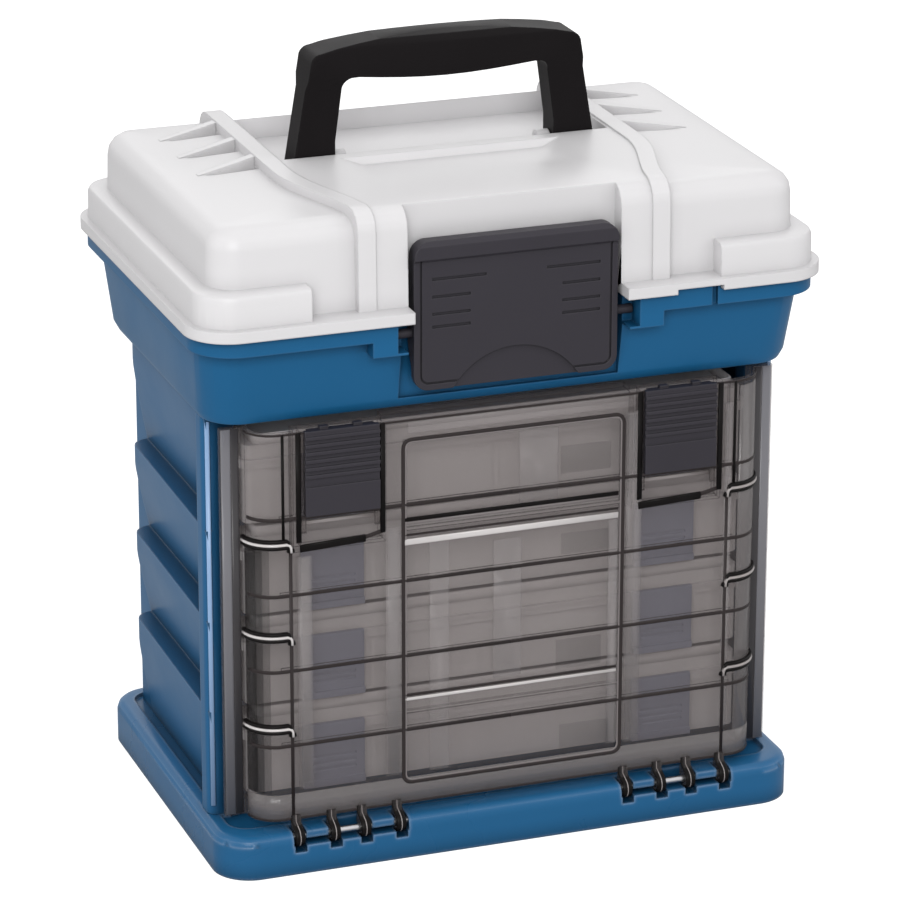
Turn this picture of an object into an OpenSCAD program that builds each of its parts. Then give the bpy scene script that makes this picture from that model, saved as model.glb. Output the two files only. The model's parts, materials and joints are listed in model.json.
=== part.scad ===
// Portable tackle cabinet: a blue rack with four small utility boxes behind a smoked drop-down
// door, a storage tub on top of the rack, a white moulded lid, a folding handle and a front latch.
// The origin is the middle of the footprint at floor level, +Z is up and the door faces -Y.

/* [Plinth] */
// Width of the plinth
base_w = 266; // [262:1:280]
// Depth of the plinth
base_d = 179; // [174:1:190]
// Height of the plinth's rim
base_h = 19; // [18:0.5:22]
// Corner radius of the plinth
base_r = 17; // [10:1:24]
// Depth of the sunk deck below the rim
deck_drop = 1.7; // [1:0.1:2.5]
// Wall of the plinth's skirt
skirt_t = 3; // [2:0.5:5]
// Thickness of the plinth's deck
deck_t = 3.5; // [2.5:0.5:5]
// How far the lid reaches in front of the plinth
base_inset = 3.5; // [0:0.5:8]

/* [Rack] */
// Width of the rack over its front posts
rack_w = 260; // [258:1:262]
// Depth of the rack from the front posts to the back
rack_d = 137; // [134:1:144]
// Distance from the plinth's front to the front posts
rack_setback = 30.5; // [30:0.5:34]
// How far the side walls lie inside the posts
wall_inset = 10.2; // [9.5:0.1:10.4]
// Wall thickness of the rack
wall_t = 2.4; // [2:0.1:2.6]
// Depth of the front posts
post_d = 10; // [7:0.5:14]
// Height of one shelf
tier_h = 41.4; // [40:0.2:46]
// Height of the lowest side panel
first_panel_h = 49.9; // [48:0.1:54]
// Height of the highest side panel
last_panel_h = 50.6; // [50:0.1:56]
// How far a shelf runner reaches inwards
runner_w = 6; // [4:0.5:10]
// Thickness of a shelf runner
runner_t = 2.4; // [2:0.2:3]

/* [Utility boxes] */
// Length of a utility box, across the rack
box_w = 231; // [220:1:233]
// Depth of a utility box, front to back
box_d = 137; // [120:1:138]
// Height of a utility box
box_h = 35; // [30:0.5:36]
// Height of a utility box's lid
box_lid_h = 8; // [6:0.5:12]
// Wall thickness of a utility box
box_t = 1.5; // [1.2:0.1:2.2]
// Corner radius of a utility box
box_r = 6; // [4:1:10]
// Width of a box latch
box_latch_w = 28; // [18:1:34]
// Height of a box latch
box_latch_h = 29; // [22:1:30]
// Distance from the middle to a box latch
box_latch_x = 76; // [60:1:84]
// Number of compartments in the front row of a box
front_cells = 4; // [2:1:6]
// Number of compartments in the back row of a box
back_cells = 2; // [1:1:4]

/* [Door] */
// Width of the door over its side flanges
door_w = 251; // [249:1:254]
// Width of the door's raised tray
tray_w = 232.4; // [232:0.2:236]
// Depth of the tray, from the flange to the face
tray_d = 13.8; // [12:0.2:15]
// Radius of the tray's upright corners
tray_r = 13; // [8:0.5:13.4]
// Wall thickness of the door
door_t = 2.4; // [2:0.1:3]
// Gap between the plinth's rim and the door
door_foot_gap = 3; // [2:0.2:4]
// Gap between the door and the tub
door_head_gap = 2.2; // [1.8:0.1:4]
// How far the door's face lies behind the plinth's front
door_setback = 7.6; // [7:0.2:9]
// Width of the door's framed window
window_w = 98.4; // [80:1:106]
// Radius of a door hinge knuckle
hinge_r = 4; // [3.2:0.1:4.2]
// Radius of a door hinge pin
hinge_pin_r = 1.5; // [1.2:0.1:2]
// Width of a hinge finger
finger_w = 3.2; // [2.4:0.2:4.4]
// Width of the notch that a hinge finger stands in
notch_w = 5.4; // [5:0.2:6.4]
// Distance from the middle to a hinge's centre
hinge_x = 75.4; // [70:1:84]

/* [Door latches] */
// Width of a door latch plate
slide_w = 33; // [28:1:34]
// Height of a door latch plate
slide_h = 37.6; // [32:0.5:38]
// Distance from the middle to a door latch
slide_x = 76.5; // [74:0.5:78]
// Travel of a door latch
slide_travel = 8; // [5:0.5:10]
// Depth of the latch pockets in the door
pocket_d = 6; // [5:0.5:7]

/* [Storage tub] */
// Width of the tub's floor
tub_w = 266; // [262:1:268]
// Depth of the tub's floor
tub_d = 157; // [150:1:160]
// Height of the tub
tub_h = 42.6; // [36:0.2:60]
// How much wider each side gets towards the rim
tub_draft = 3.5; // [1:0.5:5]
// Width over the tub's flange
flange_w = 279; // [276:1:281]
// Height of the tub's flange
flange_h = 7; // [5:0.5:9]
// Wall thickness of the tub and the lid
shell_t = 2.5; // [2:0.1:3]

/* [Lid] */
// Width of the lid over its lip
lid_w = 283.6; // [281:0.2:292]
// Depth of the cabinet over the lid and its rear hinge
overall_d = 197; // [194:1:204]
// Height of the lid's lip
lip_h = 5; // [4:0.5:7]
// Height of the step above the lip
step_h = 14; // [10:0.5:18]
// Height of the dome above the step
dome_h = 25; // [22:0.5:30]
// Width of the ledge between step and dome
ledge_w = 7; // [5:0.5:10]
// Height of the ridges and claws above the dome
ridge_h = 4; // [2:0.5:5]
// Distance from the middle to a ridge
ridge_x = 80; // [78:1:84]
// Width of a ridge
ridge_w = 8; // [5:0.5:10]
// Radius of the rear hinge knuckles
lid_knuckle_r = 3; // [2.6:0.1:3.2]
// Radius of the rear hinge pins
lid_pin_r = 1.2; // [1:0.1:1.5]

/* [Front latch] */
// Width of the front latch
latch_w = 91; // [80:1:92]
// Height of the front latch
latch_h = 65; // [62:1:68]
// How far the latch reaches below the lid
latch_drop = 32; // [28:1:33]
// Radius of the latch's pivot pin
latch_pin_r = 2; // [1.5:0.1:2.4]

/* [Handle] */
// Width of the handle over its feet
handle_w = 140; // [130:1:146]
// Height of the handle above its pivots
handle_h = 54.5; // [50:0.5:58]
// Thickness of the handle's legs, front to back
handle_t = 13; // [10:0.5:14]
// Thickness of the grip, front to back
grip_t = 18; // [14:0.5:19]
// Radius of the handle's pivot pins
handle_pin_r = 2; // [1.6:0.1:2.4]

/* [Hidden] */
$fn = 48;

fit = 0.3;           // gap between pieces that only come near each other
run = 0.06;          // radial clearance of a running pin
skin = 0.02;         // thickness of the slices that a loft is stretched over
over = 1;            // how far a cut runs past the face it opens

// Heights, from the floor up
deck_z = base_h - deck_drop;
function ledge_z(k) = deck_z + first_panel_h + k * tier_h;
tub_z = ledge_z(2) + last_panel_h;
rim_z = tub_z + tub_h;
lid_z = rim_z + fit;
step_z = lid_z + lip_h;
dome_z = step_z + step_h;
top_z = dome_z + dome_h;

// Depths, from the front to the back
lid_front = -overall_d / 2;
base_front = lid_front + base_inset;
base_mid = base_front + base_d / 2;
post_front = base_front + rack_setback;
rack_back = post_front + rack_d;
door_face = base_front + door_setback;
flange_front = door_face + tray_d;
box_front = flange_front + door_t + fit;
lid_hinge_y = overall_d / 2 - lid_knuckle_r;
lid_back = lid_hinge_y - fit;

// Pivot of the handle, and the round feet that turn about it
handle_y = 3.5;
handle_z = top_z - 0.5;
foot_r = handle_t / 2;

// Widths
wall_x = rack_w / 2 - wall_inset;
inner_x = wall_x - wall_t;

// Door hinge: four fingers to a group, the inner two close together
hinge_y = base_front + hinge_r + 0.5;
hinge_z = base_h - 3.1;
finger_offsets = [-22.9, -6.9, 6.9, 22.9];
notch_z = hinge_z - hinge_r - 1.8;
slot_z = hinge_z - 2.8;      // floor of the slot between the fingers
notch_back = door_face + door_t + 0.5;

// Door
door_z = base_h + door_foot_gap;
door_top = tub_z - door_head_gap;
window_z = door_z + 10;
window_top = door_top - 9.3;

function box_z(i) = ledge_z(0) + runner_t + 0.4 + (i - 2) * tier_h;

blue = "#2a628c";
smoke = [0.45, 0.42, 0.41, 0.55];
clear = [0.72, 0.71, 0.70, 0.45];
box_latch_blue = "#6f7f9a";
white = "#e6e4e6";
black = "#1d1b1e";
graphite = "#3a3a42";
steel = "#9aa0a6";

// ---------------------------------------------------------------- shared shapes

// Outline of a rounded rectangle, centred
module rounded(w, d, r) {
    square([w - 2 * r, d], center = true);
    square([w, d - 2 * r], center = true);
    for (x = [-1, 1], y = [-1, 1])
        translate([x * (w / 2 - r), y * (d / 2 - r)])
            circle(r);
}

// Rounded plate between two heights, given by its front and back
module plate(w, front, back, r, z0, z1) {
    translate([0, (front + back) / 2, z0])
        linear_extrude(z1 - z0)
            rounded(w, back - front, r);
}

// Block from one corner to the other
module block(a, b) {
    translate(a)
        cube(b - a);
}

// Body stretched over rounded slices, each [height, half width, front, back, corner radius]
module loft(slices, facets = 32) {
    hull()
        for (s = slices)
            plate(2 * s[1], s[2], s[3], s[4], s[0], s[0] + skin, $fn = facets);
}

// Outline drawn in x and z, pulled along y
module pulled_y(y0, y1) {
    translate([0, y1, 0])
        rotate([90, 0, 0])
            linear_extrude(y1 - y0)
                children();
}

// Outline drawn in y and z, pulled along x
module pulled_x(x0, x1) {
    translate([x0, 0, 0])
        rotate([90, 0, 90])
            linear_extrude(x1 - x0)
                children();
}

// Round bar along x
module bar(r, x0, x1, y, z) {
    translate([x0, y, z])
        rotate([0, 90, 0])
            cylinder(r = r, h = x1 - x0);
}

module both_sides() {
    children();
    mirror([1, 0, 0])
        children();
}

// ---------------------------------------------------------------- plinth

edge_r = 4;                  // rounding of the plinth's top edge
rim_side = 8;                // width of the rim beside and behind the deck
cell = 27;                   // spacing of the ribs under the deck
rib_t = 2;

module plinth_outside() {
    h = base_w / 2;
    back = base_front + base_d;
    plate(base_w, base_front, back, base_r, 0, base_h - edge_r);
    loft([
        [base_h - edge_r - skin / 2, h, base_front, back, base_r],
        [base_h - edge_r * 0.4, h - edge_r * 0.2, base_front + edge_r * 0.2,
            back - edge_r * 0.2, base_r - edge_r * 0.2],
        [base_h - edge_r * 0.12, h - edge_r * 0.52, base_front + edge_r * 0.52,
            back - edge_r * 0.52, base_r - edge_r * 0.52],
        [base_h - skin, h - edge_r, base_front + edge_r, back - edge_r, base_r - edge_r]
    ], 48);
}

// Cells between the ribs under the deck, open downwards, clear of the hinge at the front
module underside_cells() {
    front = notch_back + skirt_t;
    nx = floor((base_w - 2 * skirt_t - 2) / cell);
    ny = floor((base_front + base_d - skirt_t - front) / cell);
    x0 = -nx * cell / 2;
    y0 = base_front + base_d - skirt_t - 1 - ny * cell;
    difference() {
        for (i = [0 : nx - 1], j = [0 : ny - 1])
            block([x0 + i * cell + rib_t / 2, y0 + j * cell + rib_t / 2, -over],
                  [x0 + (i + 1) * cell - rib_t / 2, y0 + (j + 1) * cell - rib_t / 2, deck_z - deck_t]);
        for (x = [-1, 1])
            block([x * (base_w / 2 - base_r / 2) - base_r, base_front + base_d - base_r, -2 * over],
                  [x * (base_w / 2 - base_r / 2) + base_r, base_front + base_d, base_h]);
    }
}

module base_plinth() {
    color(blue)
    difference() {
        plinth_outside();
        difference() {
            plate(base_w - 2 * rim_side, notch_back + 2, base_front + base_d - rim_side,
                  base_r - rim_side, deck_z, base_h + over);
            both_sides()
                block([wall_x + 0.5, post_front, deck_z - over],
                      [base_w / 2, post_front + post_d, base_h + 2 * over]);
        }
        underside_cells();
        for (s = [-1, 1])
            translate([s * hinge_x, 0, 0])
                hinge_slot();
    }
}

slot_half = finger_offsets[3] + notch_w / 2 + 0.5;
pin_half = slot_half + 3;
bearing_half = 5;            // half width of a bearing
bearing_x = (finger_offsets[2] + finger_offsets[3]) / 2;

// Room for one group of fingers: a slot in the rim with a deeper notch at each finger, crossed by
// the pin, which two bearings on the slot's back wall hold
module hinge_slot() {
    difference() {
        union() {
            block([-slot_half, base_front - over, slot_z], [slot_half, notch_back, base_h + over]);
            for (x = finger_offsets)
                block([x - notch_w / 2, base_front - over, notch_z],
                      [x + notch_w / 2, notch_back, slot_z + over]);
        }
        for (s = [-1, 1])
            block([s * bearing_x - bearing_half, hinge_y - hinge_pin_r - 0.9, hinge_z - 0.4],
                  [s * bearing_x + bearing_half, notch_back + over, base_h + 0.6]);
    }
    bar(hinge_pin_r + run / 3, -pin_half, pin_half, hinge_y, hinge_z);
}

module door_hinge_pins() {
    color(steel)
    for (s = [-1, 1])
        bar(hinge_pin_r, s * hinge_x - pin_half + 0.1, s * hinge_x + pin_half - 0.1,
            hinge_y, hinge_z);
}

// ---------------------------------------------------------------- rack

bulge = wall_inset - 0.7;    // how far a panel's upper edge stands out of the wall
bulge_back = 2;              // how much less it stands out at the back
bulge_end = 17;              // distance from the panels' back ends to the back of the rack
post_r = 4.5;                // rounding of the posts' outer edges

// Plan of the panels: full width behind the post, rounded off towards the back
module panel_plan(inset) {
    x = wall_x + bulge - inset;
    y1 = rack_back - bulge_end - inset;
    r = 8;
    polygon(concat(
        [[wall_x - wall_t - over, post_front + inset], [x, post_front + inset],
         [x - bulge_back * 0.8, y1 - r]],
        [for (a = [15 : 15 : 90]) [x - bulge_back * 0.8 - r + r * cos(a), y1 - r + r * sin(a)]],
        [[wall_x - wall_t - over, y1]]
    ));
}

// One leaning panel: flush with the wall at its foot and standing out at its head
module panel(z0, z1, inset) {
    intersection() {
        translate([0, 0, z0])
            linear_extrude(z1 - z0)
                panel_plan(inset);
        pulled_y(post_front, rack_back)
            polygon([[wall_x - wall_t - over, z0], [wall_x - inset, z0], [wall_x + bulge - inset, z1],
                     [wall_x - wall_t - over, z1]]);
    }
}

function panel_foot(k) = k == 0 ? deck_z : ledge_z(k - 1);
function panel_head(k) = k == 3 ? tub_z : ledge_z(k);

module side_wall() {
    difference() {
        union() {
            block([inner_x, post_front, deck_z], [wall_x, rack_back, tub_z]);
            // front post
            intersection() {
                block([inner_x, post_front, base_h], [rack_w / 2, post_front + post_d, tub_z]);
                translate([0, 0, base_h])
                    linear_extrude(tub_z - base_h) {
                        translate([rack_w / 2 - post_r, post_front + post_r])
                            circle(post_r);
                        translate([inner_x, post_front])
                            square([rack_w / 2 - post_r - inner_x, post_d]);
                        translate([inner_x, post_front + post_r])
                            square([rack_w / 2 - inner_x, post_d - post_r]);
                    }
            }
            for (k = [0 : 3])
                panel(panel_foot(k), panel_head(k), 0);
        }
        for (k = [0 : 3])
            intersection() {
                panel(panel_foot(k), panel_head(k) - wall_t, wall_t);
                block([inner_x - over, post_front + post_d, deck_z], [rack_w, rack_back, tub_z]);
            }
    }
    // runners that carry the utility boxes
    for (i = [1 : 4])
        block([inner_x - runner_w, post_front + 2, box_z(i) - fit - runner_t],
              [inner_x, rack_back - wall_t, box_z(i) - fit]);
}

module side_wall_left() {
    color(blue)
    mirror([1, 0, 0])
        side_wall();
}

module side_wall_right() {
    color(blue)
    side_wall();
}

// depth of the upright ribs inside the back wall, which end just behind the boxes
back_rib = rack_back - wall_t - (box_front + box_d) - 0.4;

module back_wall() {
    color(blue) {
        block([-inner_x, rack_back - wall_t, deck_z], [inner_x, rack_back, tub_z]);
        for (x = [-inner_x / 2, 0, inner_x / 2])
            block([x - 1, rack_back - wall_t - back_rib, deck_z],
                  [x + 1, rack_back - wall_t, tub_z]);
    }
}

// ---------------------------------------------------------------- utility boxes

rim_lap = 2;                 // width of the flange where a box and its lid meet
cell_x = box_w / 2 - rim_lap - box_t;
cell_front = box_front + rim_lap + box_t;
cell_back = box_front + box_d - rim_lap - box_t;
row_split = cell_front + (cell_back - cell_front) * 0.52;
tray_h = box_h - box_lid_h;

module box_tray(i) {
    z = box_z(i);
    back = box_front + box_d;
    color(clear)
    difference() {
        union() {
            plate(box_w - 2 * rim_lap, box_front + rim_lap, back - rim_lap, box_r - rim_lap,
                  z, z + tray_h);
            plate(box_w, box_front, back, box_r, z + tray_h - 2, z + tray_h);
        }
        difference() {
            block([-cell_x, cell_front, z + box_t], [cell_x, cell_back, z + tray_h + over]);
            block([-cell_x - over, row_split - box_t / 2, z], [cell_x + over, row_split + box_t / 2, z + box_h]);
            // short slots' ribs that hold the loose dividers
            for (k = [1 : front_cells - 1])
                for (s = [-1, 1])
                    divider_rib(k, front_cells, s, cell_front, z);
        }
    }
}

function cell_edge(k, n) = -cell_x + 2 * cell_x * k / n;

module divider_rib(k, n, s, y, z) {
    x = cell_edge(k, n) + s * 1.5;
    block([x - 0.6, y - over, z], [x + 0.6, y + 1.6, z + tray_h - 3]);
    block([x - 0.6, row_split - box_t / 2 - 1.6, z], [x + 0.6, row_split, z + tray_h - 3]);
}

module box_dividers(i) {
    z = box_z(i) + box_t + 0.05;
    color(clear) {
        for (k = [1 : front_cells - 1])
            block([cell_edge(k, front_cells) - 0.65, cell_front + 0.3, z],
                  [cell_edge(k, front_cells) + 0.65, row_split - box_t / 2 - 0.3, z + tray_h - box_t - 1]);
        for (k = [1 : back_cells - 1])
            block([cell_edge(k, back_cells) - 0.65, row_split + box_t / 2 + 0.3, z],
                  [cell_edge(k, back_cells) + 0.65, cell_back - 0.3, z + tray_h - box_t - 1]);
    }
}

module box_lid(i) {
    z = box_z(i) + tray_h;
    back = box_front + box_d;
    color(clear)
    difference() {
        union() {
            plate(box_w, box_front, back, box_r, z, z + 2);
            plate(box_w - 2 * rim_lap, box_front + rim_lap, back - rim_lap, box_r - rim_lap,
                  z, z + box_lid_h);
        }
        block([-cell_x, cell_front, z - over], [cell_x, cell_back, z + box_lid_h - box_t]);
    }
}

module box_latches(i) {
    z0 = box_z(i) + 1;
    z1 = z0 + box_latch_h;
    y = box_front - fit;
    color(box_latch_blue)
    both_sides()
        translate([box_latch_x, 0, 0])
            difference() {
                union() {
                    block([-box_latch_w / 2, y - 2.2, z0], [box_latch_w / 2, y, z1]);
                    block([-box_latch_w / 2, y - 3.4, z0], [box_latch_w / 2, y, z0 + 3]);
                }
                for (k = [0 : 2])
                    block([-box_latch_w / 2 + 4, y - 2.2 - over, z0 + 7 + 3 * k],
                          [box_latch_w / 2 - 4, y - 1.6, z0 + 8.2 + 3 * k]);
            }
}

// ---------------------------------------------------------------- door

pocket_z = door_top - slide_h - slide_travel - 6.4;
pocket_w = slide_w + 3;
step_zs = [ledge_z(0) - 2.2, ledge_z(1) - 1.5, ledge_z(2) - 1];
inside_rib_zs = [for (k = [0 : 3]) door_z + 34.8 + 34.4 * k];

// Plan of the raised tray: straight face with round upright corners
module tray_plan(grow) {
    w = tray_w + 2 * grow;
    r = tray_r + grow;
    back = flange_front + door_t;
    intersection() {
        translate([0, door_face - grow + 2 * r])
            rounded(w, 4 * r, r);
        translate([-w / 2, door_face - grow])
            square([w, back - door_face + grow]);
    }
}

module door_shell() {
    translate([0, 0, door_z])
        linear_extrude(door_top - door_z) {
            difference() {
                tray_plan(0);
                tray_inside();
            }
            for (s = [-1, 1])
                translate([s * (door_w + tray_w - 1) / 4, flange_front + door_t / 2])
                    square([(door_w - tray_w + 1) / 2, door_t], center = true);
        }
}

module tray_inside() {
    back = flange_front + door_t + over;
    w = tray_w - 2 * door_t;
    intersection() {
        translate([0, door_face + door_t + 2 * tray_r])
            rounded(w, 4 * tray_r, tray_r - door_t);
        translate([-w / 2, door_face])
            square([w, back - door_face]);
    }
}

// Raised ribs round the tray's corners at shelf height
module corner_ribs() {
    both_sides()
        intersection() {
            for (z = step_zs)
                translate([0, 0, z - 1.2])
                    linear_extrude(2.4)
                        difference() {
                            tray_plan(1.1);
                            tray_plan(-0.5);
                        }
            block([tray_w / 2 - tray_r - 4, door_face - 2, 0], [door_w / 2, flange_front, rim_z]);
        }
}

module latch_pocket() {
    // floor and side walls of the pocket, behind the door's face
    x = pocket_w / 2 + door_t;
    difference() {
        block([-x, door_face, pocket_z - door_t], [x, door_face + pocket_d + door_t, door_top]);
        block([-pocket_w / 2, door_face - over, pocket_z],
              [pocket_w / 2, door_face + pocket_d, door_top + over]);
    }
    // rails that hold the sliding plate
    both_sides()
        block([slide_w / 2 - guide_in + fit, door_face + 1.2, pocket_z + 6],
              [pocket_w / 2 + door_t / 2, door_face + 1.2 + guide_t, door_top - 1]);
}

module hinge_finger(x) {
    y_back = door_face + door_t;
    difference() {
        union() {
            bar(hinge_r, x - finger_w / 2, x + finger_w / 2, hinge_y, hinge_z);
            block([x - finger_w / 2, hinge_y + 0.4, hinge_z], [x + finger_w / 2, y_back, door_z + 3]);
        }
        bar(hinge_pin_r + run, x - finger_w, x + finger_w, hinge_y, hinge_z);
    }
}

module door_panel() {
    w2 = window_w / 2;
    color(smoke) {
        difference() {
            union() {
                difference() {
                    union() {
                        door_shell();
                        // thin stiffening ribs across the inside
                        for (z = inside_rib_zs)
                            block([-tray_w / 2 + tray_r, door_face + door_t - 0.2, z - 0.6],
                                  [tray_w / 2 - tray_r, door_face + door_t + 1, z + 0.6]);
                    }
                    both_sides()
                        block([slide_x - pocket_w / 2, door_face - over, pocket_z],
                              [slide_x + pocket_w / 2, door_face + pocket_d, door_top + over]);
                }
                both_sides()
                    translate([slide_x, 0, 0])
                        latch_pocket();
                corner_ribs();
                // top wall that closes the tray between the pockets
                block([-slide_x + pocket_w / 2 + door_t, door_face, door_top - door_t],
                      [slide_x - pocket_w / 2 - door_t, flange_front, door_top]);
                for (s = [-1, 1], o = finger_offsets)
                    hinge_finger(s * hinge_x + o);
            }
            // window panel: a framed field that falls back in three steps
            for (k = [0 : 2])
                block([-w2, door_face - over, k == 0 ? window_z : step_zs[k == 1 ? 0 : 2] + 0.8],
                      [w2, door_face + 0.5 + 0.35 * (2 - k),
                       k == 2 ? window_top : step_zs[k == 0 ? 0 : 2] - 0.8]);
            // grooves beside the corners
            both_sides()
                block([tray_w / 2 - tray_r - 4.4, door_face - over, door_z + 3],
                      [tray_w / 2 - tray_r - 3.6, door_face + 0.6, door_top + over]);
        }
    }
}

guide_in = 1.6;              // depth of the grooves in a latch plate's sides
guide_t = 1.2;               // thickness of the rails in those grooves
slide_t = 5;                 // thickness of a latch plate
slide_proud = 2.4;           // how far the plates stand out of the door's face

module door_latch(s) {
    z0 = door_top - slide_h;
    y0 = door_face - slide_proud;
    color(graphite)
    translate([s * slide_x, 0, 0])
        difference() {
            union() {
                block([-slide_w / 2, y0 + 0.8, z0], [slide_w / 2, y0 + slide_t, door_top]);
                // grip ribs over the upper part
                for (k = [0 : 5])
                    block([-slide_w / 2, y0, door_top - 4 - 3.4 * k],
                          [slide_w / 2, y0 + 1, door_top - 2.2 - 3.4 * k]);
                block([-slide_w / 2, y0, z0], [slide_w / 2, y0 + 1, z0 + 13]);
                // tongues on top
                for (x = [-7.5, 7.5])
                    block([x - 2, y0 + 2.4, door_top - over], [x + 2, y0 + slide_t, door_top + 1.2]);
                // rear guide that fills the pocket's depth
                block([-slide_w / 2 + 3, y0 + slide_t - over, z0 + 3],
                      [slide_w / 2 - 3, door_face + pocket_d - fit, door_top - 2]);
            }
            both_sides()
                block([slide_w / 2 - guide_in, door_face + 1.2 - fit, z0 - over],
                      [slide_w / 2 + over, door_face + 1.2 + guide_t + fit, door_top + over]);
        }
}

// ---------------------------------------------------------------- storage tub

tub_front = base_front + 12.8;
tub_back = tub_front + tub_d;
floor_edge = 5;              // rounding of the tub's bottom edge
flange_front_y = lid_front + 3;
flange_back_y = lid_back - 2.7;
rim_front = flange_front_y + 6.8;    // front and back of the tub's walls under the flange
rim_back = flange_back_y - 11.2;
recess_w = latch_w + 8;      // width of the latch recess in the tub
recess_back = tub_front + 2; // back plane of the latch recess
boss_w = 4.5;                // width of the pockets beside the recess
latch_face = base_front + 4.1;
latch_pin_y = latch_face + 4.3;
latch_pin_z = rim_z - 7.2;

module tub_outside() {
    h = tub_w / 2;
    f = tub_front;
    b = tub_back;
    loft([
        [tub_z, h - floor_edge, f + floor_edge, b - floor_edge, 13],
        [tub_z + floor_edge * 0.25, h - floor_edge * 0.4, f + floor_edge * 0.4,
            b - floor_edge * 0.4, 16],
        [tub_z + floor_edge, h, f, b, 18],
        [rim_z - flange_h / 2, h + tub_draft, rim_front, rim_back, 19]
    ]);
}

module tub_inside() {
    h = tub_w / 2 - shell_t;
    f = tub_front + shell_t;
    b = tub_back - shell_t;
    loft([
        [tub_z + shell_t, h - 3, f + 3, b - 3, 13],
        [tub_z + shell_t + 3, h, f, b, 15],
        [rim_z + over, h + tub_draft, rim_front + shell_t, rim_back - shell_t, 17]
    ]);
}

module storage_tub() {
    half = recess_w / 2;
    color(blue)
    difference() {
        union() {
            tub_outside();
            plate(flange_w, flange_front_y, flange_back_y, 20, rim_z - flange_h, rim_z);
            // bosses beside the latch recess, which hold the ends of its pivot
            both_sides()
                block([half - over, flange_front_y, latch_pin_z - 6.5],
                      [half + boss_w + 11, tub_front, rim_z - over]);
            // raised part of the rim that fills the notch in the lid's lip
            block([keeper_x0 + fit, flange_front_y, rim_z - over],
                  [keeper_x1 - fit, flange_front_y + keeper_d, rim_z + keeper_h]);
            // outer knuckles of the rear hinge
            for (s = [-1, 1], o = [-1, 1])
                tub_knuckle(s * lid_hinge_x + o * knuckle_step);
        }
        difference() {
            tub_inside();
            block([-half - shell_t, lid_front, tub_z], [half + shell_t, recess_back + shell_t, rim_z + 9]);
        }
        block([keeper_x1 - 4, lid_front - over, rim_z - flange_h - over],
              [keeper_x1 - 1.5, flange_front_y + keeper_d - 0.8, rim_z + keeper_h + over]);
        // recess for the front latch
        block([-half, lid_front - over, tub_z + 5.5], [half, recess_back, rim_z + over]);
        // pockets beside it that show the ends of the pivot
        both_sides()
            block([half - over, lid_front - over, latch_pin_z - 5.5],
                  [half + boss_w, tub_front - 4, rim_z + over]);
        // blind sockets for the latch's pivot pin
        bar(latch_pin_r + run / 3, -half - shell_t - 1.5, half + shell_t + 1.5,
            latch_pin_y, latch_pin_z);
        // bores of the rear hinge, and room for the lid's knuckles
        for (s = [-1, 1]) {
            bar(lid_pin_r + run / 3, s * lid_hinge_x - knuckle_span, s * lid_hinge_x + knuckle_span,
                lid_hinge_y, lid_z);
            bar(lid_knuckle_r + 0.5, s * lid_hinge_x - knuckle_w / 2 - 0.4,
                s * lid_hinge_x + knuckle_w / 2 + 0.4, lid_hinge_y, lid_z);
        }
    }
}

// ---------------------------------------------------------------- rear hinge

lid_hinge_x = 84;            // distance from the middle to a rear hinge
knuckle_w = 12;              // width of the lid's knuckle
tub_knuckle_w = 6;
knuckle_step = knuckle_w / 2 + 0.4 + tub_knuckle_w / 2;
knuckle_span = knuckle_step + tub_knuckle_w / 2 + over;

module tub_knuckle(x) {
    x0 = x - tub_knuckle_w / 2;
    x1 = x + tub_knuckle_w / 2;
    bar(lid_knuckle_r, x0, x1, lid_hinge_y, lid_z);
    block([x0, flange_back_y - 2, rim_z - flange_h], [x1, lid_hinge_y + lid_knuckle_r * 0.8, rim_z]);
}

module lid_hinge_pins() {
    color(steel)
    for (s = [-1, 1])
        bar(lid_pin_r, s * lid_hinge_x - knuckle_span + over, s * lid_hinge_x + knuckle_span - over,
            lid_hinge_y, lid_z);
}

// ---------------------------------------------------------------- lid

lip_r = 20;
step_side = 3.4;             // how far the step lies inside the lip
step_edge = 2.5;             // rounding of the step's upper edge
step_end = 91;               // distance from the middle to the ends of the step
dome_side = lid_w / 2 - step_side - ledge_w;
dome_front = lid_front + step_side + ledge_w + 1.6;
dome_back = lid_back - step_side - ledge_w - 2;
dome_r = 13.5;               // upright corners of the dome
dome_edge = 9.5;             // rounding of the dome's upper edge
dome_draft = 0.8;            // how far its sides lean inwards
dome_facets = 56;
panel_rise = 3.2;            // height of the field between the ridges above the dome
plateau_z = top_z + panel_rise;
ridge_bend_y = -20;          // where a ridge starts to swing inwards
ridge_turn = 14.5;           // how far it swings
well_front = handle_y - foot_r - 0.6;
well_back = 76;
well_half = ridge_x - ridge_w / 2 - 1;
well_z = handle_z - grip_t / 2 - 0.5;
lid_recess_w = latch_w + 4;
field_x = 50;                // half width of the shallow field in front of the handle
field_y = -50;               // its front edge
field_drop = 3;              // its depth
lid_recess_back = latch_face + 9.6;

// The dome, grown all round by the given amount
module dome(grow, z0) {
    h = dome_side + grow;
    f = dome_front - grow;
    b = dome_back + grow;
    r = dome_r + grow;
    t = top_z + grow - skin;
    loft(concat(
        [[z0, h, f, b, r]],
        [for (a = [0 : 22.5 : 90])
            [t - dome_edge * (1 - sin(a)), h - edge_in(a), f + edge_in(a), b - edge_in(a),
                r - edge_in(a)]]
    ), dome_facets);
}

function edge_in(a) = dome_draft + dome_edge * (1 - cos(a));

// Middle line of a ridge, in 24 steps from the back of the lid to its front: straight over the
// top, then swinging inwards to run down the front
ridge_steps = 24;
function ridge_y(k) = ridge_bend_y + (lid_front - ridge_bend_y) * k / ridge_steps;
function ridge_share(y) = min(1, (ridge_bend_y - y) / (ridge_bend_y - dome_front + ridge_h));
function ridge_line(y) = ridge_x - ridge_turn * (1 - cos(180 * ridge_share(y))) / 2;

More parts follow.
